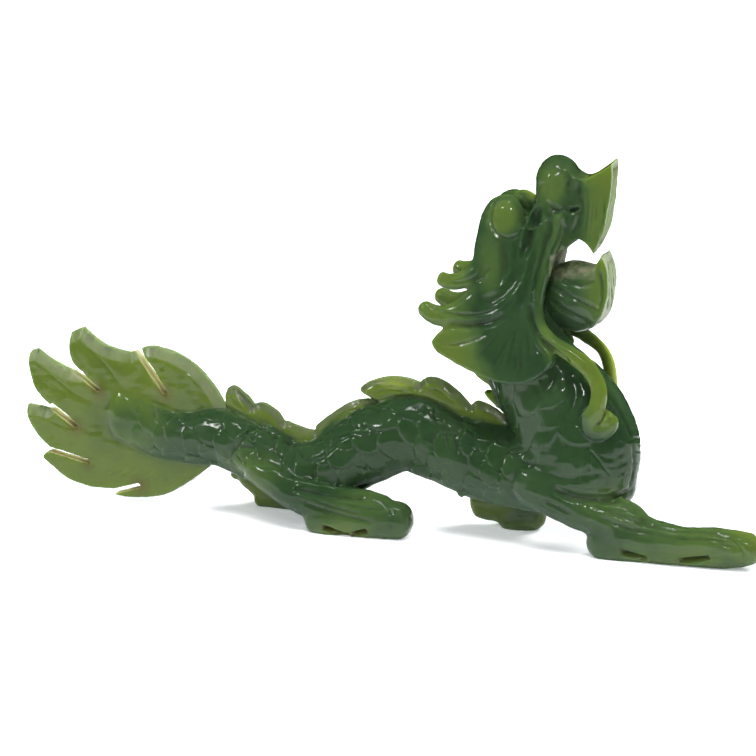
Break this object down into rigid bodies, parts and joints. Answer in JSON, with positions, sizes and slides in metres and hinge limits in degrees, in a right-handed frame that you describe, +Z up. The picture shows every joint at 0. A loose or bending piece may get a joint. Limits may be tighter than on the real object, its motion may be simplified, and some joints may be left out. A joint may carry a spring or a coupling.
{
  "type": "jade dragon carving",
  "caption": "Polished green jade carving of a long crouching dragon with a raised head, scaled body, crest down the back and a fanned tail fin, standing on its own paws.",
  "frame": {"origin": "On the standing plane under the soles, at the middle of the carving's bounding box.", "axes": "+X runs from the tail towards the head and the front paws, +Y is the dragon's left and +Z is up."},
  "size_m": [0.2002, 0.0273, 0.0999],
  "materials": {
    "jade": "polished"
  },
  "bodies": {
    "root": {"jade_dragon": "jade"}
  },
  "joints": []
}
